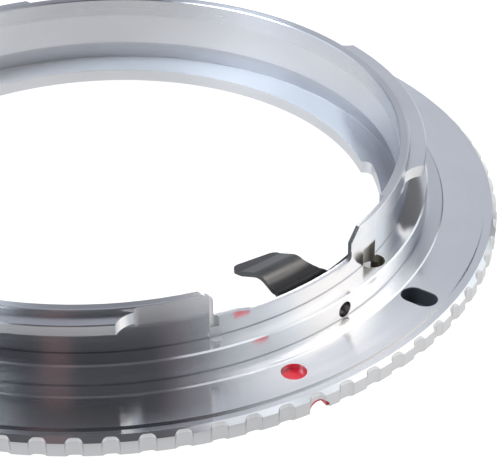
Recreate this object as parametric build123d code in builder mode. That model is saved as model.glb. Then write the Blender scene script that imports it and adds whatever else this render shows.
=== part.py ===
from build123d import *
from math import atan2, cos, degrees, hypot, radians, sin, sqrt
import os

os.makedirs("parts", exist_ok=True)

# Lengths are millimetres. Angles are degrees, counter-clockwise from +X as seen from the camera side.
# The ring's axis is Z, with the lens side below and the camera side above.
# The ring lies on the tip of its lock pin, so height 0 is the surface that it lies on.

# Turned section: radius of the barrel, and widths that follow it outwards and inwards
barrel_radius = 25.26
ledge_width = 1.54
boss_width = 1.33
face_width = 3.32
band_width = 0.67
edge_chamfer = 0.38
wall_thickness = 0.86
groove_depth = 0.5
lens_gap_reach = 1.3
lens_lug_reach = 2.1

# Turned section: heights, each counted from the one before
pin_reach = 0.6
flange_thickness = 1.75
boss_rise = 0.1
spigot_height = 1.75
barrel_height = 3.7
band_drop = 0.17
lens_lug_thickness = 1.1
groove_height = 1.8

# Small edges of the turned section
foot_chamfer = 0.12
spigot_chamfer = 0.12
corner_relief = 0.1
rim_break = 0.08
lug_break = 0.08

# Camera-side lugs and the gaps that an end mill leaves between them
lug_count = 3
lug_reach = 1.29
lug_drop = 0.4
lug_thickness = 0.95
gap_start = -85.2
gap_end = -21.0
cutter_radius = 2.2
gap_skim = 0.06
gap_floor_drop = 0.28

# Lens-side gaps: start and end of each
lens_gaps = ((-43.0, 8.0), (120.0, 160.0), (200.0, 240.0))
lens_gap_corner = 0.8

# Toothed edge
tooth_count = 80
notch_angle = -64.0
notch_width = 1.4
notch_depth = 0.3
notch_corner = 0.5

# Finger window in the barrel wall, with a stepped sill, and the pocket behind it
window_start = -73.0
window_step_end = -69.0
window_ramp_end = -66.0
window_end = -43.6
sill_height = 1.35
sill_step = 0.3
window_foot = 0.35
window_round = 0.8
window_corner_run = 1.0
window_corner_drop = 1.0
scallop_radius = 0.45
scallop_depth = 0.25
scallop_below_sill = 0.5
pocket_start = -75.0
pocket_step = -42.0
pocket_end = -30.0
pocket_depth = 0.42
pocket_above_bore = 0.1

# Index marks of red enamel
enamel_thickness = 0.15
camera_mark_angle = -64.2
camera_mark_inset = 1.37
camera_mark_radius = 0.96
camera_mark_recess = 0.42
camera_mark_dish = 0.06
lens_mark_angle = -63.6
lens_mark_radius = 0.87
lens_mark_depth = 1.2

# Slot in the flange for the camera's own lock
slot_angle = -38.04
slot_direction = -42.0
slot_inset = 1.56
slot_length = 3.0
slot_width = 1.96
slot_depth = 1.4

# Pivot of the lock lever: a shoulder screw set into the spigot from inside
pivot_angle = -49.56
pivot_height = 0.69
thread_radius = 0.65
thread_clearance = 0.01
thread_setback = 0.6
journal_radius = 0.85
pivot_clearance = 0.06
spot_radius = 1.4
spot_bite = 0.03
head_radius = 1.2
head_thickness = 0.25
head_gap = 0.07
driver_slot_width = 0.3
driver_slot_depth = 0.12

# Lock lever, folded from sheet: shelf, bent finger tab, web, hub and ear
sheet = 0.4
lever_travel = 8.0
web_clearance = 0.4
lever_clearance = 0.15
shelf_start = -58.85
shelf_end = -47.9
web_end = -46.5
web_end_drop = 0.4
shelf_drop = 0.5
shelf_width = 0.9
bend_radius = 0.3
link_start = -52.5
link_end = -35.0
link_above_pivot = 1.2
hub_radius = 1.1
hub_gap = 0.07
ear_half_width = 0.62

# Finger tab: where it runs, and its bends as distances in from the web and heights from the shelf
tab_heading = -56.2
tab_near = -1.1
tab_width = 3.9
tab_corner = 0.64
tab_tip_slant = 0.74
tab_flare = 0.6
tab_flare_reach = 1.75
tab_flare_round = 0.7
tab_root_reach = 0.65
tab_foot_reach = 0.8
tab_hump_reach = 2.3
tab_heel_reach = 4.5
tab_tip_reach = 5.9
tab_hump_rise = 0.63
tab_heel_drop = 0.37
tab_tip_drop = 0.69
tab_foot_bend = 0.45
tab_hump_bend = 1.65
tab_heel_bend = 0.8

# Lock pin, riveted to the lever's ear, and its bore
pin_angle = -38.0
bore_radius = 0.95
bore_wall = 0.28
bore_rise = 1.3
pin_clearance = 0.1
pin_tip_round = 0.2
rivet_radius = 0.3
rivet_head_radius = 0.5
rivet_head_height = 0.3

# Margin by which a cut runs past the face that it opens
past = 1.0

# Radii that follow
spigot_radius = barrel_radius + ledge_width
boss_radius = spigot_radius + boss_width
band_radius = boss_radius + face_width
flange_radius = band_radius + band_width + edge_chamfer
wall_radius = barrel_radius - wall_thickness
groove_radius = wall_radius + groove_depth
lens_gap_radius = wall_radius - lens_gap_reach
throat_radius = wall_radius - lens_lug_reach
lug_radius = barrel_radius + lug_reach
gap_wall_radius = barrel_radius - gap_skim
pocket_radius = wall_radius + pocket_depth

# Heights that follow
seat = pin_reach
face = seat + flange_thickness
band = face - band_drop
boss = face + boss_rise
ledge = boss + spigot_height
rim = ledge + barrel_height
lug_top = rim - lug_drop
lug_under = lug_top - lug_thickness
gap_floor = lug_under - gap_floor_drop
lens_lug_top = seat + lens_lug_thickness
groove_top = lens_lug_top + groove_height
sill = ledge + sill_height
pivot = boss + pivot_height

# Lever sizes that follow
web_outer = wall_radius - web_clearance
web_inner = web_outer - sheet
shelf_top = sill - shelf_drop
shelf_middle = shelf_top - sheet / 2
spot_face = groove_radius + spot_bite
lever_reach = web_outer * sin(radians(pivot_angle - shelf_start))
web_bottom = lens_lug_top + lever_clearance + lever_reach * sin(radians(lever_travel))
ear_bottom = lens_lug_top + lever_clearance
ear_top = ear_bottom + sheet
pin_axis_radius = spigot_radius - bore_wall - bore_radius
pin_arm = pin_axis_radius * sin(radians(pin_angle - pivot_angle))
pin_swing = pivot * sin(radians(lever_travel)) - pin_arm * (1 - cos(radians(lever_travel)))
pin_radius = bore_radius - pin_swing - pin_clearance


def polar(radius, angle):
    """Point at a radius and an angle from the ring's axis."""
    return (radius * cos(radians(angle)), radius * sin(radians(angle)))


def radial_plane(angle, height, distance):
    """Plane that faces outwards at an angle, with its X along the ring and its Y upwards."""
    x, y = polar(distance, angle)
    along = (-sin(radians(angle)), cos(radians(angle)), 0)
    outwards = (cos(radians(angle)), sin(radians(angle)), 0)
    return Plane(origin=(x, y, height), x_dir=along, z_dir=outwards)


def section_plane(angle):
    """Upright plane through the ring's axis, with its X outwards at an angle and its Y upwards."""
    outwards = (cos(radians(angle)), sin(radians(angle)), 0)
    sideways = (sin(radians(angle)), -cos(radians(angle)), 0)
    return Plane(origin=(0, 0, 0), x_dir=outwards, z_dir=sideways)


def ring_sector(inner, outer, start, end):
    """Draw the area between two radii and two angles in the open sketch."""
    with BuildLine() as outline:
        inside = CenterArc((0, 0), inner, start, end - start)
        outside = CenterArc((0, 0), outer, start, end - start)
        Line(inside @ 0, outside @ 0)
        Line(inside @ 1, outside @ 1)
    make_face(outline.edges())


def cutter_path(start, end):
    """Draw what an end mill clears on its way around the barrel, with a quarter round at each end."""
    centre = gap_wall_radius + cutter_radius
    spread = degrees(atan2(cutter_radius, centre))
    with BuildLine() as outline:
        CenterArc((0, 0), gap_wall_radius, start, end - start)
        CenterArc(polar(centre, end), cutter_radius, end + 180, -90)
        CenterArc(polar(centre, start), cutter_radius, start + 180, 90)
        CenterArc((0, 0), hypot(centre, cutter_radius), start - spread, end - start + 2 * spread)
    make_face(outline.edges())


pin_axis = Axis((*polar(pin_axis_radius, pin_angle), 0), (0, 0, 1))
pin_plane = Plane(origin=pin_axis.position, x_dir=(1, 0, 0), z_dir=(0, -1, 0))

# Ring: one turned and milled piece with both bayonets
with BuildPart() as adapter_ring:
    with BuildSketch(Plane.XZ):
        with BuildLine():
            Polyline(
                (throat_radius, seat),
                (flange_radius - foot_chamfer, seat),
                (flange_radius, seat + foot_chamfer),
                (flange_radius, band - edge_chamfer),
                (flange_radius - edge_chamfer, band),
                (band_radius, band),
                (band_radius, face),
                (boss_radius, face),
                (boss_radius - boss_rise, boss),
                (spigot_radius + corner_relief, boss),
                (spigot_radius + corner_relief, boss - corner_relief),
                (spigot_radius, boss - corner_relief),
                (spigot_radius, ledge - spigot_chamfer),
                (spigot_radius - spigot_chamfer, ledge),
                (barrel_radius + corner_relief, ledge),
                (barrel_radius + corner_relief, ledge - corner_relief),
                (barrel_radius, ledge - corner_relief),
                (barrel_radius, lug_under),
                (lug_radius - lug_break, lug_under),
                (lug_radius, lug_under + lug_break),
                (lug_radius, lug_top - lug_break),
                (lug_radius - lug_break, lug_top),
                (barrel_radius, lug_top),
                (barrel_radius, rim - rim_break),
                (barrel_radius - rim_break, rim),
                (wall_radius + rim_break, rim),
                (wall_radius, rim - rim_break),
                (wall_radius, groove_top),
                (groove_radius, groove_top),
                (groove_radius, lens_lug_top),
                (throat_radius, lens_lug_top),
                close=True,
            )
        make_face()
    revolve(axis=Axis.Z)

    # Gaps between the camera-side lugs
    with BuildSketch(Plane.XY.offset(gap_floor)):
        for turn in range(lug_count):
            shift = turn * 360 / lug_count
            cutter_path(gap_start + shift, gap_end + shift)
    extrude(amount=rim + past - gap_floor, mode=Mode.SUBTRACT)

    # Gaps between the lens-side lugs
    with BuildSketch(Plane.XY.offset(seat - past)) as gap_sketch:
        for start, end in lens_gaps:
            ring_sector(throat_radius - past, lens_gap_radius, start, end)
        fillet(gap_sketch.vertices().group_by(SortBy.DISTANCE)[-1], lens_gap_corner)
    extrude(amount=lens_lug_thickness + 2 * past, mode=Mode.SUBTRACT)

    # Teeth
    with BuildSketch(Plane.XY.offset(seat - past)):
        with PolarLocations(flange_radius - notch_depth, tooth_count, start_angle=notch_angle):
            RectangleRounded(2 * past, notch_width, notch_corner, align=(Align.MIN, Align.CENTER))
    extrude(amount=flange_thickness + 2 * past, mode=Mode.SUBTRACT)

    # Pocket behind the finger window, with a step up over the bore of the lock pin
    with BuildSketch(Plane.XY.offset(groove_top)):
        ring_sector(wall_radius - past, pocket_radius, pocket_start, pocket_step)
    extrude(amount=rim + past - groove_top, mode=Mode.SUBTRACT)
    pocket_shelf = ledge + bore_rise + pocket_above_bore
    with BuildSketch(Plane.XY.offset(pocket_shelf)):
        ring_sector(wall_radius - past, pocket_radius, pocket_start, pocket_end)
    extrude(amount=rim + past - pocket_shelf, mode=Mode.SUBTRACT)

    # Finger window
    window_middle = (window_start + window_end) / 2
    window_radius = (barrel_radius + pocket_radius) / 2
    window_left = window_radius * sin(radians(window_start - window_middle))
    window_step = window_radius * sin(radians(window_step_end - window_middle))
    window_ramp = window_radius * sin(radians(window_ramp_end - window_middle))
    window_right = window_radius * sin(radians(window_end - window_middle))
    with BuildSketch(radial_plane(window_middle, 0, wall_radius - 2 * past)):
        with BuildLine():
            FilletPolyline(
                (window_left, sill + sill_step),
                (window_step, sill + sill_step),
                (window_ramp, sill),
                (window_right, sill),
                (window_right, rim - window_corner_drop),
                (window_right + window_corner_run, rim),
                (window_right + window_corner_run, rim + past),
                (window_left - 2 * window_round, rim + past),
                (window_left - 2 * window_round, rim),
                (window_left, rim),
                radius=(0, window_foot, window_foot, window_foot, 0, 0, 0, 0, 0, window_round),
                close=True,
            )
        make_face()
    extrude(amount=wall_thickness + 3 * past, mode=Mode.SUBTRACT)

    # Scallop that the window's cutter leaves in the outer wall
    scallop_floor = sill - scallop_below_sill
    with BuildSketch(Plane.XY.offset(scallop_floor)):
        with Locations(polar(barrel_radius + scallop_radius - scallop_depth, window_start)):
            Circle(scallop_radius)
    extrude(amount=rim + past - scallop_floor, mode=Mode.SUBTRACT)

    # Slot for the camera's lock
    with BuildSketch(Plane.XY.offset(face)):
        with Locations(polar(boss_radius + slot_inset, slot_angle)):
            SlotOverall(slot_length, slot_width, rotation=slot_direction)
    extrude(amount=-slot_depth, mode=Mode.SUBTRACT)

    # Flat-ended bore of the lock pin, which breaks out of the ledge and of the barrel above it
    with BuildSketch(Plane.XY.offset(seat - past)):
        with Locations(polar(pin_axis_radius, pin_angle)):
            Circle(bore_radius)
    extrude(amount=ledge + bore_rise - seat + past, mode=Mode.SUBTRACT)

    # Slot of the bore's own width, which lets the lever's ear reach from the groove to the pin
    with BuildSketch(Plane.XY.offset(lens_lug_top)):
        with Locations(polar((wall_radius + pin_axis_radius) / 2, pin_angle)):
            Rectangle(pin_axis_radius - wall_radius, 2 * bore_radius, rotation=pin_angle)
    extrude(amount=groove_height, mode=Mode.SUBTRACT)

    # Spot face and tapped hole of the pivot screw
    with BuildSketch(radial_plane(pivot_angle, pivot, spot_face)):
        Circle(spot_radius)
    extrude(amount=-(spot_face - web_inner), mode=Mode.SUBTRACT)
    with BuildSketch(radial_plane(pivot_angle, pivot, spot_face)):
        Circle(thread_radius)
    extrude(amount=spigot_radius - spot_face + past, mode=Mode.SUBTRACT)

    # Recesses of the two index marks
    with BuildSketch(Plane.XY.offset(face)):
        with Locations(polar(boss_radius + camera_mark_inset, camera_mark_angle)):
            Circle(camera_mark_radius)
    extrude(amount=-(camera_mark_recess + camera_mark_dish + enamel_thickness), mode=Mode.SUBTRACT)
    with BuildSketch(radial_plane(lens_mark_angle, seat, flange_radius - lens_mark_depth)):
        Circle(lens_mark_radius)
    extrude(amount=lens_mark_depth + past, mode=Mode.SUBTRACT)
adapter_ring.part.label = "adapter_ring"
export_step(adapter_ring.part, "parts/adapter_ring.step")

# Finger tab of the lock lever, with its hump and the rounded corners of its tip
tab_tip = web_outer - tab_tip_reach
with BuildPart() as finger_tab:
    with BuildSketch(section_plane(tab_heading).offset(-tab_near)):
        with BuildLine():
            FilletPolyline(
                (web_outer - tab_root_reach, shelf_middle),
                (web_outer - tab_foot_reach, shelf_middle),
                (web_outer - tab_hump_reach, shelf_middle + tab_hump_rise),
                (web_outer - tab_heel_reach, shelf_middle - tab_heel_drop),
                (tab_tip, shelf_middle - tab_tip_drop),
                radius=(tab_foot_bend, tab_hump_bend, tab_heel_bend),
            )
        trace(line_width=sheet)
    extrude(amount=-(tab_width + tab_flare))
    with BuildSketch(Plane((0, 0, 0), x_dir=(*polar(1, tab_heading), 0), z_dir=(0, 0, 1))):
        with BuildLine():
            FilletPolyline(
                (web_outer, tab_near),
                (tab_tip, tab_near),
                (tab_tip + tab_tip_slant, tab_near + tab_width),
                (web_outer - tab_flare_reach, tab_near + tab_width),
                (web_outer - tab_root_reach, tab_near + tab_width + tab_flare),
                (web_outer, tab_near + tab_width + tab_flare),
                radius=(0, tab_corner, tab_corner, tab_flare_round, 0, 0),
                close=True,
            )
        make_face()
    extrude(amount=rim, mode=Mode.INTERSECT)

# Lock lever: one folded sheet, whose web follows the inside of the wall
link_top = pivot + link_above_pivot
link_left = web_outer * sin(radians(link_start - pivot_angle))
shelf_right = web_outer * sin(radians(shelf_end - pivot_angle))
web_right = web_outer * sin(radians(web_end - pivot_angle))
lever_right = web_outer * sin(radians(link_end - pivot_angle)) + past
with BuildPart() as lock_lever:
    with BuildSketch(Plane.XY.offset(ear_bottom)):
        ring_sector(web_inner, web_outer, shelf_start, link_end)
    extrude(amount=shelf_top - ear_bottom)
    with BuildSketch(radial_plane(pivot_angle, 0, throat_radius)):
        with BuildLine():
            Polyline(
                (-lever_reach - past, web_bottom),
                (link_left, web_bottom),
                (link_left, ear_bottom),
                (lever_right, ear_bottom),
                (lever_right, link_top),
                (web_right, link_top),
                (web_right, shelf_top - web_end_drop),
                (shelf_right, shelf_top),
                (-lever_reach - past, shelf_top),
                close=True,
            )
        make_face()
    extrude(amount=web_outer - throat_radius + past, mode=Mode.INTERSECT)

    # Shelf folded in along the top of the web, and the tab that goes on from it
    with BuildSketch(Plane.XY.offset(shelf_top - sheet)):
        ring_sector(web_outer - shelf_width, web_outer - sheet / 2, shelf_start, shelf_end)
    extrude(amount=sheet)
    top_arcs = lock_lever.edges().filter_by(GeomType.CIRCLE).group_by(Axis.Z)[-1]
    fillet(top_arcs.sort_by(SortBy.RADIUS)[-1], bend_radius)
    add(finger_tab.part)

    # Ear that carries the lock pin
    ear_root = web_outer - sheet / 2
    with BuildSketch(Plane.XY.offset(ear_bottom)):
        with Locations(polar(pin_axis_radius, pin_angle)):
            Circle(ear_half_width)
        with Locations(polar((ear_root + pin_axis_radius) / 2, pin_angle)):
            Rectangle(pin_axis_radius - ear_root, 2 * ear_half_width, rotation=pin_angle)
        with Locations(polar(pin_axis_radius, pin_angle)):
            Circle(rivet_radius, mode=Mode.SUBTRACT)
    extrude(amount=sheet)

    # Hub drawn out around the pivot, and its hole
    with BuildSketch(radial_plane(pivot_angle, pivot, spot_face - hub_gap)):
        Circle(hub_radius)
    extrude(amount=-(spot_face - hub_gap - web_outer + sheet / 2))
    with BuildSketch(radial_plane(pivot_angle, pivot, spot_face)):
        Circle(journal_radius + pivot_clearance)
    extrude(amount=-(spot_face - web_inner + past), mode=Mode.SUBTRACT)
lock_lever.part.label = "lock_lever"
export_step(lock_lever.part, "parts/lock_lever.step")

# Pivot screw: head inside the throat, journal through the lever's hub, thread in the spigot
head_seat = sqrt(web_inner**2 - head_radius**2) - head_gap
with BuildPart() as pivot_screw:
    with BuildSketch(radial_plane(pivot_angle, pivot, head_seat - head_thickness)):
        Circle(head_radius)
    extrude(amount=head_thickness)
    with BuildSketch(radial_plane(pivot_angle, pivot, head_seat)):
        Circle(journal_radius)
    extrude(amount=spot_face - head_seat)
    with BuildSketch(radial_plane(pivot_angle, pivot, spot_face)):
        Circle(thread_radius - thread_clearance)
    extrude(amount=spigot_radius - thread_setback - spot_face)
    with BuildSketch(radial_plane(pivot_angle, pivot, head_seat - head_thickness)):
        Rectangle(2 * head_radius + past, driver_slot_width)
    extrude(amount=driver_slot_depth, mode=Mode.SUBTRACT)
pivot_screw.part.label = "pivot_screw"
export_step(pivot_screw.part, "parts/pivot_screw.step")

# Lock pin: shank with a rounded tip, and a neck riveted over the ear
with BuildPart() as lock_pin:
    with BuildSketch(pin_plane) as pin_section:
        with BuildLine():
            Polyline(
                (0, 0),
                (pin_radius, 0),
                (pin_radius, ear_bottom),
                (rivet_radius, ear_bottom),
                (rivet_radius, ear_top),
                (rivet_head_radius, ear_top),
                (rivet_radius, ear_top + rivet_head_height),
                (0, ear_top + rivet_head_height),
                close=True,
            )
        make_face()
        fillet(pin_section.vertices().group_by(Axis.Y)[0].sort_by(Axis.X)[-1], pin_tip_round)
    revolve(axis=pin_axis)
lock_pin.part.label = "lock_pin"
export_step(lock_pin.part, "parts/lock_pin.step")

# Camera index mark: a drop of enamel with a dished top
mark_bottom = face - camera_mark_recess - camera_mark_dish - enamel_thickness
mark_axis = Axis((*polar(boss_radius + camera_mark_inset, camera_mark_angle), 0), (0, 0, 1))
with BuildPart() as camera_index_mark:
    with BuildSketch(Plane(origin=mark_axis.position, x_dir=(1, 0, 0), z_dir=(0, -1, 0))):
        with BuildLine():
            dish = ThreePointArc(
                (-camera_mark_radius, mark_bottom + enamel_thickness + camera_mark_dish),
                (0, mark_bottom + enamel_thickness),
                (camera_mark_radius, mark_bottom + enamel_thickness + camera_mark_dish),
            )
            Polyline(
                dish @ 0,
                (-camera_mark_radius, mark_bottom),
                (camera_mark_radius, mark_bottom),
                dish @ 1,
            )
        make_face()
        split(bisect_by=Plane.YZ, keep=Keep.TOP)
    revolve(axis=mark_axis)
camera_index_mark.part.label = "camera_index_mark"
export_step(camera_index_mark.part, "parts/camera_index_mark.step")

# Lens index mark: enamel that lines the half-round bite in the toothed edge
with BuildPart() as lens_index_mark:
    with BuildSketch(radial_plane(lens_mark_angle, seat, flange_radius - lens_mark_depth)):
        Circle(lens_mark_radius)
        Circle(lens_mark_radius - enamel_thickness, mode=Mode.SUBTRACT)
        split(bisect_by=Plane.XZ, keep=Keep.BOTTOM)
    extrude(amount=lens_mark_depth - notch_depth)
lens_index_mark.part.label = "lens_index_mark"
export_step(lens_index_mark.part, "parts/lens_index_mark.step")
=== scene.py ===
# %% [markdown]
# # A lens mount adapter, dressed for its portrait
# The ring that joins a lens to a camera is a small turned and plated piece of brass. Its shapes come
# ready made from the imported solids, so this lesson is about finish and light: lathe lines, plate,
# blackened spring steel, enamel, and a studio whose reflections make polished metal look like metal.

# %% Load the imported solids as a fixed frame
from math import cos, radians, sin

import bpy
import numpy as np
from mathutils import Euler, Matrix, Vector

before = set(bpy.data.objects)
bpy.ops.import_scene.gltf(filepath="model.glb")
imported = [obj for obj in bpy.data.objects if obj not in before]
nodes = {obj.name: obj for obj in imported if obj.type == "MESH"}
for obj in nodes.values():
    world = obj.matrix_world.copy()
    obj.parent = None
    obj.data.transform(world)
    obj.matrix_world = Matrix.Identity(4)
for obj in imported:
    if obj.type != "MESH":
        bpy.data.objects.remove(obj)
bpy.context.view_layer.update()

MM = 0.001
print("nodes:", ", ".join(sorted(nodes)))

# %% [markdown]
# ## Helpers for node trees
# A material is a tree of small operations. A few helpers keep the cells short: one adds a node and links
# or sets its inputs, some stand for a single sum, and one starts an empty group with named sockets, so
# that an effect can be shared by materials.

# %% Helpers that add nodes and start groups
def put(tree, kind, inputs=None, **settings):
    """Add a node, apply its settings, then link each input that is a socket and set the rest as values."""
    node = tree.nodes.new(kind)
    for name, value in settings.items():
        setattr(node, name, value)
    for name, value in (inputs or {}).items():
        if isinstance(value, bpy.types.NodeSocket):
            tree.links.new(value, node.inputs[name])
        else:
            node.inputs[name].default_value = value
    return node


def maths(tree, operation, first, second=0.0, third=0.0):
    """One sum on one, two or three numbers; returns its result socket."""
    return put(tree, "ShaderNodeMath", {0: first, 1: second, 2: third}, operation=operation).outputs[0]


def both(tree, first, second):
    """A mask that is 1 only where two masks are both 1."""
    return maths(tree, "MULTIPLY", first, second)


def dot(tree, first, second):
    """Dot product of two vectors: how far the first reaches along the second."""
    return put(tree, "ShaderNodeVectorMath", {0: first, 1: second}, operation="DOT_PRODUCT").outputs["Value"]


def soft_step(tree, value, low, high):
    """0 at low, 1 at high, and a smooth ramp between; low may be the larger, for a step downwards."""
    inputs = {"Value": value, "From Min": low, "From Max": high}
    return put(tree, "ShaderNodeMapRange", inputs, interpolation_type="SMOOTHSTEP").outputs["Result"]


def between(tree, value, low, high, soft=0.04):
    """1 between two limits and 0 outside them, with soft edges."""
    above = soft_step(tree, value, low - soft, low + soft)
    below = soft_step(tree, value, high + soft, high - soft)
    return both(tree, above, below)


def blend(tree, amount, first, second):
    """Mix two colours by an amount from 0 to 1."""
    factor, colour_a, colour_b, mixed = 0, 6, 7, 2
    inputs = {factor: amount, colour_a: first, colour_b: second}
    return put(tree, "ShaderNodeMix", inputs, data_type="RGBA").outputs[mixed]


def new_group(name, inputs, outputs):
    """An empty group with float sockets; returns its tree, its input node and its output node."""
    tree = bpy.data.node_groups.new(name, "ShaderNodeTree")
    for socket_name, default in inputs.items():
        socket = tree.interface.new_socket(socket_name, in_out="INPUT", socket_type="NodeSocketFloat")
        socket.default_value = default
    for socket_name in outputs:
        tree.interface.new_socket(socket_name, in_out="OUTPUT", socket_type="NodeSocketFloat")
    return tree, tree.nodes.new("NodeGroupInput"), tree.nodes.new("NodeGroupOutput")


def place_group(tree, group, inputs=None):
    """Put a shared group into a material's tree; returns its outputs."""
    return put(tree, "ShaderNodeGroup", inputs, node_tree=group).outputs


def new_material(name):
    """A material with a bare tree; returns the material, its tree and its Principled shader."""
    material = bpy.data.materials.new(name)
    material.use_nodes = True
    tree = material.node_tree
    tree.nodes.clear()
    shader = put(tree, "ShaderNodeBsdfPrincipled")
    put(tree, "ShaderNodeOutputMaterial", {"Surface": shader.outputs["BSDF"]})
    return material, tree, shader


def link_up(tree, shader, sockets):
    """Link each value to the shader's socket of that name."""
    for name, value in sockets.items():
        tree.links.new(value, shader.inputs[name])


def dress(node_name, material):
    """Give a solid its material; its shape and place stay as they are."""
    for slot in nodes[node_name].material_slots:
        slot.material = material
    print(node_name, "wears", material.name)


print("helpers ready")

# %% [markdown]
# ## Where a point is on a turned piece
# Most faces of the ring were cut on a lathe, so their finish follows radius and height, not X and Y. This
# group turns the object's own coordinates into millimetres of radius and height. Their sum grows across a
# flat face and up a wall alike, which makes it a handy ruler for the fine lines that the tool left behind.

# %% Group: radius, height and the lathe's ruler
turned_place, _, place_out = new_group("Turned place", {}, ("Radius", "Height", "Ruler"))
spot = put(turned_place, "ShaderNodeTexCoord").outputs["Object"]
in_plan, in_space = (1, 1, 0), (1, 1, 1)
flat_spot = put(turned_place, "ShaderNodeVectorMath", {0: spot, 1: in_plan}, operation="MULTIPLY").outputs[0]
reach = put(turned_place, "ShaderNodeVectorMath", {0: flat_spot}, operation="LENGTH").outputs["Value"]
radius_mm = maths(turned_place, "DIVIDE", reach, MM)
rise = put(turned_place, "ShaderNodeSeparateXYZ", {0: spot}).outputs["Z"]
height_mm = maths(turned_place, "DIVIDE", rise, MM)
turned_place.links.new(radius_mm, place_out.inputs["Radius"])
turned_place.links.new(height_mm, place_out.inputs["Height"])
turned_place.links.new(maths(turned_place, "ADD", radius_mm, height_mm), place_out.inputs["Ruler"])
print("group:", turned_place.name)

# %% [markdown]
# ## Lathe lines
# A turning tool leaves a fine spiral that reads as rings. Rings of equal strength would look printed, so
# the group adds a fine and a coarse one-dimensional noise along the ruler: some rings show and most
# hardly do.

# %% Group: lathe lines
lathe_lines, lines_in, lines_out = new_group("Lathe lines", {"Ruler": 0.0, "Lines per mm": 6.0}, ("Lines",))
fine = put(
    lathe_lines,
    "ShaderNodeTexNoise",
    {"W": lines_in.outputs["Ruler"], "Scale": lines_in.outputs["Lines per mm"], "Detail": 3.0},
    noise_dimensions="1D",
)
coarse = put(
    lathe_lines,
    "ShaderNodeTexNoise",
    {"W": lines_in.outputs["Ruler"], "Scale": 1.3, "Detail": 1.0},
    noise_dimensions="1D",
)
fine_share, coarse_share = 0.65, 0.35
ringed = maths(lathe_lines, "MULTIPLY", fine.outputs["Fac"], fine_share)
ringed = maths(lathe_lines, "MULTIPLY_ADD", coarse.outputs["Fac"], coarse_share, ringed)
lathe_lines.links.new(ringed, lines_out.inputs["Lines"])
print("group:", lathe_lines.name)

# %% [markdown]
# ## Handling
# Metal that has been held is never evenly clean. Soft clouds of a few millimetres change the gloss a
# little, and a finer grain keeps any surface from being perfectly smooth.

# %% Group: handling clouds and grain
handling, handling_in, handling_out = new_group("Handling", {"Cloud size mm": 5.0}, ("Clouds", "Grain"))
held_at = put(handling, "ShaderNodeTexCoord").outputs["Object"]
per_metre = maths(handling, "DIVIDE", 1 / MM, handling_in.outputs["Cloud size mm"])
clouds = put(handling, "ShaderNodeTexNoise", {"Vector": held_at, "Scale": per_metre, "Detail": 4.0})
grains_per_metre = 14000.0
grain = put(handling, "ShaderNodeTexNoise", {"Vector": held_at, "Scale": grains_per_metre, "Detail": 2.0})
handling.links.new(clouds.outputs["Fac"], handling_out.inputs["Clouds"])
handling.links.new(grain.outputs["Fac"], handling_out.inputs["Grain"])
print("group:", handling.name)

# %% [markdown]
# ## Worn edges
# Plate and black oxide wear first along edges. The Bevel node gives the direction that a slightly rounded
# edge would face; where that differs from the flat direction, the point is on an edge.

# %% Helper: how near a point is to an edge
def edge_wear(tree, rounding):
    """Normal of a slightly rounded edge, and a mask that is 1 on the edge itself."""
    rounded = put(tree, "ShaderNodeBevel", {"Radius": rounding}, samples=4).outputs["Normal"]
    straight = put(tree, "ShaderNodeNewGeometry").outputs["Normal"]
    difference = maths(tree, "SUBTRACT", 1.0, dot(tree, rounded, straight))
    still_flat, on_the_edge = 0.01, 0.12
    return rounded, soft_step(tree, difference, still_flat, on_the_edge)


print("edge helper ready")

# %% [markdown]
# ## Places on the ring
# Some finishes belong to one spot of the ring. Each such place is given as the lathe and the mill knew
# it: radii from the axis, heights above the table and angles around the ring, in millimetres and degrees.

# %% Sizes and places on the ring
def around(radius, angle, height=0.0):
    """Point at a radius and height in millimetres and an angle around the axis, in metres."""
    return Vector((radius * cos(radians(angle)), radius * sin(radians(angle)), height)) * MM


def along(angle):
    """Direction of travel around the ring at an angle, made long enough to turn metres into millimetres."""
    return Vector((-sin(radians(angle)), cos(radians(angle)), 0.0)) / MM


wall_radius, groove_radius = 24.4, 24.9
spigot_radius, boss_radius = 26.8, 28.13
band_radius, flange_radius = 31.45, 32.5
lens_lug_height, groove_top = 1.7, 3.5
band_height, face_height, boss_height = 2.18, 2.35, 2.45
chamfer_foot = 1.80
pin_from_axis, bore_radius, bore_top = 25.57, 0.95, 5.5
screw_height, hole_radius = 3.14, 0.65
slot_floor, slot_mouth, slot_reach = 0.78, 2.27, 1.72
scallop_radius, window_reach, patch_reach = 0.45, 1.5, 5.2
downwards, window_end_faces = (0, 0, -1), (-0.68, -0.73, 0)

bore_place, bore_side = around(pin_from_axis, -38.0), along(-38.0)
screw_side = along(-49.56)
slot_place = around(29.69, -38.04, 2.0)
scallop_place = around(25.46, -73.0)
window_end = around(24.8, -43.5, 6.9)
print("lock slot at", [round(x / MM, 2) for x in slot_place], "mm")
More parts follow.
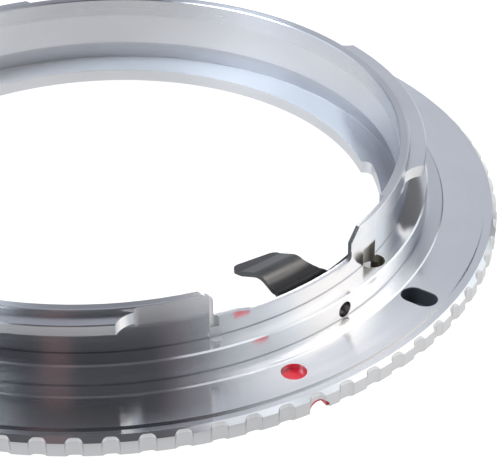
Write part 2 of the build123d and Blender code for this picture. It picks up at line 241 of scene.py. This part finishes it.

# %% [markdown]
# ## Bright plate on turned brass
# The ring was turned, milled and then plated, and the plate shows how each face was made:
#
# - The outer steps and the flange are bright, and the inner wall and the rim a little duller.
# - The tops of the lens lugs and the small scallop are matte, and the groove above the lugs is a darker grey
#   of painted shade.
# - The pin's bore, the slot beside it and the lug around it are bare, brownish metal.
# - The undersides of the camera lugs are matte, and they, the tapped hole and the tooth edges are darkened
#   with painted shade.
# - The walls of the teeth are a darker grey of painted shade, and a fine dark line of painted shade marks
#   the step up from the toothed band.
# - The end of the finger window is painted dark, with fine specks, as its shade, and the lock slot is
#   painted dark for the shade inside it.
#
# A zone is a mask made from radius, height, distance from a place or the way that a face turns. Light is
# drawn out across the lathe lines, so the shader is anisotropic, with its tangent running round the
# ring's axis.

# %% Ring: its material, and two kinds of mask
plate, tree, shader = new_material("bright_plate")
place = place_group(tree, turned_place)
lines = place_group(tree, lathe_lines, {"Ruler": place["Ruler"]})["Lines"]
touch = place_group(tree, handling)
edge = edge_wear(tree, 0.05 * MM)[1]
spot = put(tree, "ShaderNodeTexCoord").outputs["Object"]
faces = put(tree, "ShaderNodeNewGeometry").outputs["Normal"]
sideways = maths(tree, "DIVIDE", put(tree, "ShaderNodeSeparateXYZ", {0: spot}).outputs["X"], MM)
radius, height = place["Radius"], place["Height"]


def near(point, across, inner, outer):
    """1 within an inner and 0 past an outer distance from a point, along the axes that are 1 in across."""
    seen = put(tree, "ShaderNodeVectorMath", {0: spot, 1: across}, operation="MULTIPLY").outputs[0]
    gap = put(tree, "ShaderNodeVectorMath", {0: seen, 1: point}, operation="DISTANCE").outputs["Value"]
    return soft_step(tree, maths(tree, "DIVIDE", gap, MM), outer, inner)


def facing(direction):
    """1 on faces that turn towards a direction, 0 on the others."""
    turned_aside, turned_towards = 0.35, 0.5
    return soft_step(tree, dot(tree, faces, direction), turned_aside, turned_towards)


print("material:", plate.name)

# %% Ring: zones of the lens side
lens_lug_top = both(
    tree,
    soft_step(tree, radius, groove_radius + 0.05, groove_radius),
    between(tree, height, lens_lug_height - 0.04, lens_lug_height + 0.04),
)
lug_still_shiny, lug_matte = 22.4, 20.9
lens_lug_top = both(tree, lens_lug_top, soft_step(tree, sideways, lug_still_shiny, lug_matte))
# Painted shade: the groove above the lens lugs gets a darker grey where its recess lies in shadow.
lens_groove_shade = both(
    tree,
    between(tree, radius, wall_radius + 0.06, groove_radius + 0.04),
    between(tree, height, lens_lug_height + 0.05, groove_top + 0.02),
)
by_the_bore = both(tree, lens_lug_top, near(bore_place, in_plan, patch_reach, patch_reach + 0.8))
inner_wall = soft_step(tree, radius, groove_radius + 0.2, groove_radius + 0.05)
print("lens side: lug tops, groove, patch by the bore, inner wall")

# %% Ring: zones of holes and slots
pin_bore = both(
    tree,
    near(bore_place, in_plan, bore_radius + 0.02, bore_radius + 0.04),
    soft_step(tree, height, bore_top + 0.2, bore_top + 0.1),
)
slot_half = bore_radius + 0.02
ear_slot = both(
    tree,
    between(tree, dot(tree, spot, bore_side), -slot_half, slot_half, 0.01),
    between(tree, height, lens_lug_height + 0.05, groove_top - 0.05),
)
ear_slot = both(tree, ear_slot, between(tree, radius, wall_radius + 0.05, pin_from_axis + 0.03))
bare_metal = maths(tree, "MAXIMUM", pin_bore, ear_slot)

# Painted shade: the tapped hole is darkened to stand for the shade inside it.
beside_screw = maths(tree, "POWER", dot(tree, spot, screw_side), 2.0)
above_screw = maths(tree, "POWER", maths(tree, "SUBTRACT", height, screw_height), 2.0)
from_screw = maths(tree, "SQRT", maths(tree, "ADD", beside_screw, above_screw))
tapped_hole_shade = both(
    tree,
    soft_step(tree, from_screw, hole_radius + 0.13, hole_radius + 0.09),
    between(tree, radius, spigot_radius - 1.7, spigot_radius - 0.08, 0.02),
)
# Painted shade: the lock slot is coloured dark and made less metallic for the shade inside it.
lock_slot_shade = both(
    tree,
    near(slot_place, in_space, slot_reach, slot_reach + 0.03),
    between(tree, height, slot_floor, slot_mouth),
)
print("holes: pin bore with its ear slot, tapped hole, lock slot")

# %% Ring: zones of the camera side and the toothed edge
barrel_ends, rim_starts = 6.1, 6.4
rim_and_lugs = soft_step(tree, height, barrel_ends, rim_starts)
# The lug undersides are matte, and also darkened with painted shade where they face down over the ledge.
under_low, under_high = 6.2, 6.7
lug_underside_matte_and_shaded = both(tree, facing(downwards), between(tree, height, under_low, under_high))
# Painted shade: the end face of the finger window is rougher, less metallic and coloured dark, with fine
# specks.
window_end_rough_and_shaded = both(
    tree,
    facing(window_end_faces),
    near(window_end, in_space, window_reach, window_reach + 0.2),
)
scallop = near(scallop_place, in_plan, scallop_radius + 0.01, scallop_radius + 0.03)
boss_top = both(
    tree,
    between(tree, radius, spigot_radius + 0.15, boss_radius - 0.03),
    between(tree, height, boss_height - 0.05, boss_height + 0.05),
)
right_starts, right_full = 11, 17
right_boss = both(tree, boss_top, soft_step(tree, sideways, right_starts, right_full))
# Painted shade: a fine darker line on the small wall of the step up from the toothed band.
band_step_shade = both(
    tree,
    between(tree, radius, band_radius - 0.05, band_radius + 0.05, 0.01),
    between(tree, height, band_height + 0.01, face_height - 0.01, 0.005),
)
# Painted shade: the walls of the teeth are darkened where they stand between one another.
tooth_wall_shade = both(
    tree,
    soft_step(tree, radius, flange_radius - 0.55, flange_radius - 0.45),
    soft_step(tree, height, chamfer_foot, chamfer_foot - 0.04),
)
# Painted shade: dark lines along the tooth edges.
tooth_edge_shade = both(tree, edge, soft_step(tree, radius, flange_radius - 0.65, flange_radius - 0.55))
print("camera side: rim, lug undersides, window end, scallop, bosses, band step, teeth")

# %% [markdown]
# The finish starts from a bright plate that the lathe lines and the handling make uneven. Each zone then
# adds its own roughness, and lays its own colour over the plate.

# %% Ring: finish and colour
finish = maths(tree, "MULTIPLY_ADD", lines, 0.08, 0.06)
finish = maths(tree, "MULTIPLY_ADD", touch["Clouds"], 0.06, finish)
for zone, roughness in (
    (rim_and_lugs, 0.06),
    (inner_wall, 0.10),
    (boss_top, 0.04),
    (right_boss, 0.06),
    (scallop, 0.30),
    (bare_metal, 0.30),
    (lens_lug_top, 0.25),
    (lug_underside_matte_and_shaded, 0.25),
    (window_end_rough_and_shaded, 0.30),
):
    finish = maths(tree, "MULTIPLY_ADD", zone, roughness, finish)

# Several tints below are painted shade rather than finishes: the greys and darks laid on hollows,
# undersides, edges and steps.
plate_light, plate_dull = (0.88, 0.88, 0.89, 1), (0.80, 0.80, 0.82, 1)
painted_shade_grey, bare_brass = (0.42, 0.41, 0.40, 1), (0.68, 0.65, 0.59, 1)
slot_shade_colour, painted_shade_dark = (0.085, 0.092, 0.110, 1), (0.045, 0.046, 0.042, 1)
matte_lug, groove_shade_grey = (0.94, 0.95, 0.97, 1), (0.66, 0.66, 0.68, 1)
step_shade_grey, tooth_shade_grey = (0.52, 0.52, 0.54, 1), (0.72, 0.72, 0.735, 1)
specks = soft_step(tree, touch["Grain"], 0.50, 0.70)
colour = blend(tree, touch["Clouds"], plate_light, plate_dull)
for zone, tint in (
    (maths(tree, "MULTIPLY", edge, 0.5), plate_light),
    (lens_lug_top, matte_lug),
    (lens_groove_shade, groove_shade_grey),
    (lug_underside_matte_and_shaded, painted_shade_grey),
    (bare_metal, bare_brass),
    (window_end_rough_and_shaded, blend(tree, specks, painted_shade_dark, painted_shade_grey)),
    (tapped_hole_shade, painted_shade_grey),
    (band_step_shade, step_shade_grey),
    (by_the_bore, bare_brass),
    (tooth_wall_shade, tooth_shade_grey),
    (maths(tree, "MULTIPLY", tooth_edge_shade, 0.8), painted_shade_grey),
    (lock_slot_shade, slot_shade_colour),
):
    colour = blend(tree, zone, colour, tint)
print("finish and colour mixed from their zones")

# %% Ring: shader
metal = maths(tree, "MULTIPLY_ADD", lens_lug_top, -0.85, 1.0)
metal = maths(tree, "MULTIPLY_ADD", scallop, -0.60, metal)
metal = maths(tree, "SUBTRACT", maths(tree, "SUBTRACT", metal, lock_slot_shade), window_end_rough_and_shaded)
bump = put(tree, "ShaderNodeBump", {"Height": lines, "Distance": 0.0012 * MM, "Strength": 1.0})
tangent = put(tree, "ShaderNodeTangent", direction_type="RADIAL", axis="Z")
link_up(tree, shader, {
    "Base Color": colour,
    "Roughness": finish,
    "Metallic": metal,
    "Normal": bump.outputs["Normal"],
    "Tangent": tangent.outputs["Tangent"],
})
shader.inputs["Anisotropic"].default_value = 1.0
shader.inputs["Anisotropic Rotation"].default_value = 0.25
dress("adapter_ring", plate)

# %% [markdown]
# ## Blackened spring steel
# The lever is folded from thin sheet and dipped until it is black. The black is thin, so the colour is
# uneven, the sheet's rolled grain shows through, and the edges that a finger rubs turn grey. The fold
# beside the ring's wall is rougher, and painted deep black for the shade that lies on it.

# %% Material of the lever
black, tree, shader = new_material("blackened_steel")
touch = place_group(tree, handling, {"Cloud size mm": 1.6})
rounded, edge = edge_wear(tree, 0.06 * MM)
# Painted shade: the fold beside the ring's wall is coloured deep black for its shade; it is also rougher.
shade_starts_radius, shade_full_radius = 22.6, 23.1
from_axis = place_group(tree, turned_place)["Radius"]
fold_shade_and_rough = soft_step(tree, from_axis, shade_starts_radius, shade_full_radius)
thick_black, thin_black = (0.050, 0.049, 0.048, 1), (0.098, 0.095, 0.092, 1)
rubbed_grey, painted_shade_black = (0.20, 0.19, 0.19, 1), (0.016, 0.016, 0.017, 1)
colour = blend(tree, touch["Clouds"], thick_black, thin_black)
colour = blend(tree, maths(tree, "MULTIPLY", edge, 0.35), colour, rubbed_grey)
colour = blend(tree, fold_shade_and_rough, colour, painted_shade_black)
finish = maths(tree, "MULTIPLY_ADD", touch["Clouds"], 0.18, 0.26)
finish = maths(tree, "MULTIPLY_ADD", fold_shade_and_rough, 0.20, finish)
bump = put(
    tree,
    "ShaderNodeBump",
    {"Height": touch["Grain"], "Distance": 0.007 * MM, "Strength": 1.0, "Normal": rounded},
)
link_up(tree, shader, {"Base Color": colour, "Roughness": finish, "Normal": bump.outputs["Normal"]})
shader.inputs["Metallic"].default_value = 0.45
dress("lock_lever", black)

# %% [markdown]
# ## Bright turned steel
# The lock pin and the pivot screw are plain turned steel. Neither shows in the portrait, but both show
# when the ring is turned over.

# %% Material of the pin and the screw
steel, tree, shader = new_material("turned_steel")
touch = place_group(tree, handling, {"Cloud size mm": 1.2})
place = place_group(tree, turned_place)
lines = place_group(tree, lathe_lines, {"Ruler": place["Height"], "Lines per mm": 14.0})["Lines"]
rounded, edge = edge_wear(tree, 0.04 * MM)
clean_steel, dull_steel, worn_steel = (0.62, 0.61, 0.60, 1), (0.42, 0.41, 0.41, 1), (0.75, 0.74, 0.73, 1)
colour = blend(tree, touch["Clouds"], clean_steel, dull_steel)
colour = blend(tree, maths(tree, "MULTIPLY", edge, 0.6), colour, worn_steel)
finish = maths(tree, "MULTIPLY_ADD", lines, 0.16, 0.18)
bump = put(
    tree,
    "ShaderNodeBump",
    {"Height": lines, "Distance": 0.003 * MM, "Strength": 1.0, "Normal": rounded},
)
link_up(tree, shader, {"Base Color": colour, "Roughness": finish, "Normal": bump.outputs["Normal"]})
shader.inputs["Metallic"].default_value = 1.0
dress("lock_pin", steel)
dress("pivot_screw", steel)

# %% [markdown]
# ## Red enamel
# Each index mark is a drop of stove enamel. It is deep red with a clear gloss, a little darker where it
# is thick, and its surface has the faint waviness of something that flowed before it set.

# %% Material of the index marks
enamel, tree, shader = new_material("red_enamel_gloss")
touch = place_group(tree, handling, {"Cloud size mm": 0.8})
thin_red, thick_red = (0.86, 0.018, 0.040, 1), (0.74, 0.010, 0.026, 1)
colour = blend(tree, touch["Clouds"], thin_red, thick_red)
finish = maths(tree, "MULTIPLY_ADD", touch["Grain"], 0.12, 0.18)
bump = put(tree, "ShaderNodeBump", {"Height": touch["Clouds"], "Distance": 0.02 * MM, "Strength": 0.6})
link_up(tree, shader, {"Base Color": colour, "Roughness": finish, "Normal": bump.outputs["Normal"]})
shader.inputs["Coat Weight"].default_value = 0.5
shader.inputs["Coat Roughness"].default_value = 0.08
dress("camera_index_mark", enamel)
dress("lens_index_mark", enamel)

# %% [markdown]
# ## A pale floor
# The ring lies on a plain pale sheet that is lit so evenly that it reads as white. It is a disc worked
# out from two parameters, turn and distance, wide enough to fill every view from above the horizon.

# %% Floor: shape
def disc(radius, rings, spokes):
    """Points at distance s * radius and turn t, for s from 0 to 1 and t over a full turn."""
    steps, turns = np.linspace(0, 1, rings), np.linspace(0, 2 * np.pi, spokes, endpoint=False)
    s, t = np.meshgrid(steps, turns, indexing="ij")
    return np.stack([radius * s * np.cos(t), radius * s * np.sin(t), np.zeros_like(s)], axis=-1)


def ring_grid_faces(rings, spokes):
    """Four corners of each cell of a grid that closes on itself around its second parameter."""
    row, column = np.meshgrid(np.arange(rings - 1), np.arange(spokes), indexing="ij")
    here, outwards = row * spokes, (row + 1) * spokes
    after = (column + 1) % spokes
    corners = [here + column, outwards + column, outwards + after, here + after]
    return np.stack(corners, axis=-1).reshape(-1, 4)


def new_mesh(name, points, faces):
    """A mesh object at the origin from an array of points and an array of faces."""
    mesh = bpy.data.meshes.new(name)
    mesh.from_pydata(points.reshape(-1, 3).tolist(), [], faces.tolist())
    mesh.update()
    made = bpy.data.objects.new(name, mesh)
    bpy.context.scene.collection.objects.link(made)
    return made


floor_radius, floor_rings, spokes = 3.0, 4, 96
centre_radius = floor_radius / (floor_rings - 1)
around_centre = disc(floor_radius, floor_rings, spokes)[1:]
floor = new_mesh("floor", around_centre, ring_grid_faces(floor_rings - 1, spokes))
centre = new_mesh("floor_centre", disc(centre_radius, 2, spokes)[1:], np.arange(spokes).reshape(1, -1))
print("floor and its centre:", len(floor.data.polygons) + len(centre.data.polygons), "faces")

# %% [markdown]
# To the camera the sheet is plain white. The metal mirrors it too, and a real sheet is never lit evenly
# right beside a shiny ring: it is shaded on the left, around the ring's inner foot and further out, and
# catches more light on the right. So it glows white where it is looked at, and in these pale greys of
# painted light and shade where a reflection looks at it.

# %% Floor: paper and glow
paper, tree, shader = new_material("pale_sheet")
fibres = put(tree, "ShaderNodeTexNoise", {"Scale": 900.0, "Detail": 3.0}).outputs["Fac"]
thin_paper, thick_paper = (0.09, 0.09, 0.09, 1), (0.11, 0.11, 0.11, 1)
throat_left, throat_right = (0.52, 0.52, 0.53, 1), (0.88, 0.92, 0.98, 1)
shade_by_inner_foot, by_the_flange = (0.64, 0.65, 0.66, 1), (0.60, 0.60, 0.60, 1)
further_out, on_the_right = (0.33, 0.33, 0.33, 1), (0.74, 0.74, 0.73, 1)
white = (1.0, 1.0, 1.0, 1)

floor_spot = put(tree, "ShaderNodeTexCoord").outputs["Object"]
sideways = maths(tree, "DIVIDE", put(tree, "ShaderNodeSeparateXYZ", {0: floor_spot}).outputs["X"], MM)
reach = put(tree, "ShaderNodeVectorMath", {0: floor_spot}, operation="LENGTH").outputs["Value"]
from_axis = maths(tree, "DIVIDE", reach, MM)
inside = blend(tree, soft_step(tree, sideways, 0.0, 9.0), throat_left, throat_right)
# Painted shade: the glow is darker close around the ring's inner foot.
inside = blend(tree, soft_step(tree, from_axis, 17.5, 20.0), inside, shade_by_inner_foot)
outside = blend(tree, soft_step(tree, from_axis, 34.0, 36.0), by_the_flange, further_out)
outside = blend(tree, soft_step(tree, sideways, 11.0, 21.0), outside, on_the_right)
seen_in_metal = blend(tree, soft_step(tree, from_axis, 23.0, 25.0), inside, outside)
seen_directly = put(tree, "ShaderNodeLightPath").outputs["Is Camera Ray"]
link_up(tree, shader, {
    "Base Color": blend(tree, fibres, thin_paper, thick_paper),
    "Emission Color": blend(tree, seen_directly, seen_in_metal, white),
})
shader.inputs["Roughness"].default_value = 0.9
shader.inputs["Emission Strength"].default_value = 1.0
for sheet in (floor, centre):
    sheet.data.materials.append(paper)
print("floor laid")

# %% [markdown]
# ## Studio light
# Polished metal shows what is around it, so the room is made of what the ring has to show. Upright panels
# with soft edges stand around it below a dim ceiling: a bright key on the right, cooler panels at the
# back and on the left, and a dark front with two faint brown patches, which is what makes the near left
# of the ring go dark and the right of it go white. Three softboxes above them give the sharp highlights.
#
# A turn is counted in degrees from the near left, anticlockwise as seen from above: the near side is at
# 35, the right at 125, the back at 215 and the left at 305. Each edge of a panel is given by the turns
# where it starts and ends.

# %% Room: panels and softboxes
world = bpy.data.worlds.new("studio")
bpy.context.scene.world = world
world.use_nodes = True
tree = world.node_tree
tree.nodes.clear()
turn_at_right = 125.0
towards = put(tree, "ShaderNodeTexCoord").outputs["Generated"]
axes = put(tree, "ShaderNodeSeparateXYZ", {0: towards}).outputs
bearing = maths(tree, "DEGREES", maths(tree, "ARCTAN2", axes["Y"], axes["X"]))
turn = maths(tree, "FLOORED_MODULO", maths(tree, "ADD", bearing, turn_at_right), 360.0)
lift = maths(tree, "DEGREES", maths(tree, "ARCSINE", axes["Z"]))


def panel(rise, fall):
    """1 between two soft upright edges, each given as the turns at which it starts and ends."""
    return both(tree, soft_step(tree, turn, *rise), soft_step(tree, turn, *reversed(fall)))


def softbox(bearing, lift, inner, outer):
    """1 within a cone around a direction and 0 outside it, from two cone angles; all in degrees."""
    flat = cos(radians(lift))
    middle = (flat * cos(radians(bearing)), flat * sin(radians(bearing)), sin(radians(lift)))
    return soft_step(tree, dot(tree, towards, middle), cos(radians(outer)), cos(radians(inner)))


panel_top, ceiling_foot = 42.0, 54.0
below_ceiling = soft_step(tree, lift, ceiling_foot, panel_top)
ceiling = soft_step(tree, lift, panel_top, ceiling_foot)
print("room:", world.name)

# %% Room: what it shines with
dim_wall = (0.052, 0.055, 0.064)
panels = {
    "key on the right": ((58, 106), (156, 171), (0.95, 1.02, 1.06)),
    "warm core of the key": ((98, 115), (135, 152), (0.35, 0.25, 0.15)),
    "cool strip behind the key": ((165, 170), (178, 190), (0.10, 0.12, 0.17)),
    "back panel": ((176, 196), (207, 216), (0.46, 0.49, 0.54)),
    "bright edge of the back panel": ((200, 205), (208, 212), (0.10, 0.10, 0.11)),
    "wide panel on the left": ((207, 216), (325, 353), (0.22, 0.25, 0.31)),
    "warm strip at the back left": ((209, 214), (225, 245), (0.12, 0.11, 0.10)),
    "bright panel on the left": ((250, 285), (325, 350), (0.72, 0.80, 0.90)),
}
patches = {
    "brown patch at the near left": ((6, 12), (16, 23), (0.085, 0.040, 0.035)),
    "brown patch at the near right": ((49, 55), (60, 66), (0.060, 0.045, 0.050)),
}
softboxes = {
    "softbox at the far right": ((54, 54, 9, 13), (8.0, 7.6, 7.4)),
    "softbox at the near right": ((-46, 52, 8, 14), (0.75, 0.77, 0.82)),
    "softbox on the left": ((185, 58, 12, 16), (7.0, 7.9, 9.0)),
}
ceiling_glow = (0.08, 0.08, 0.085)

lights = [(both(tree, below_ceiling, panel(rise, fall)), colour) for rise, fall, colour in panels.values()]
lights += [(panel(rise, fall), colour) for rise, fall, colour in patches.values()]
lights += [(ceiling, ceiling_glow)]
lights += [(softbox(*cone), colour) for cone, colour in softboxes.values()]
room = dim_wall
for amount, colour in lights:
    glow = put(tree, "ShaderNodeVectorMath", {0: colour, "Scale": amount}, operation="SCALE").outputs[0]
    room = put(tree, "ShaderNodeVectorMath", {0: room, 1: glow}, operation="ADD").outputs[0]
sky = put(tree, "ShaderNodeBackground", {"Color": room, "Strength": 1.0})
put(tree, "ShaderNodeOutputWorld", {"Surface": sky.outputs["Background"]})
print("lit by:", ", ".join([*panels, *patches, *softboxes]))

# %% [markdown]
# ## Camera
# The portrait was taken close and from above, with a long lens. The camera's place and turn were found by
# fitting the ring's own circles to the picture.

# %% Camera
camera_data = bpy.data.cameras.new("portrait_camera")
camera_data.sensor_width = 36.0
camera_data.lens = 136.87
camera_data.clip_start = 0.01
camera = bpy.data.objects.new("portrait_camera", camera_data)
camera.location = Vector((0.0, -135.095, 85.218)) * MM
camera.rotation_euler = Euler((radians(57.0937), radians(0.5977), radians(-5.5395)), "XYZ")
bpy.context.scene.collection.objects.link(camera)
bpy.context.scene.camera = camera
bpy.context.scene.view_settings.view_transform = "Standard"
print("camera at", [round(x, 4) for x in camera.location])
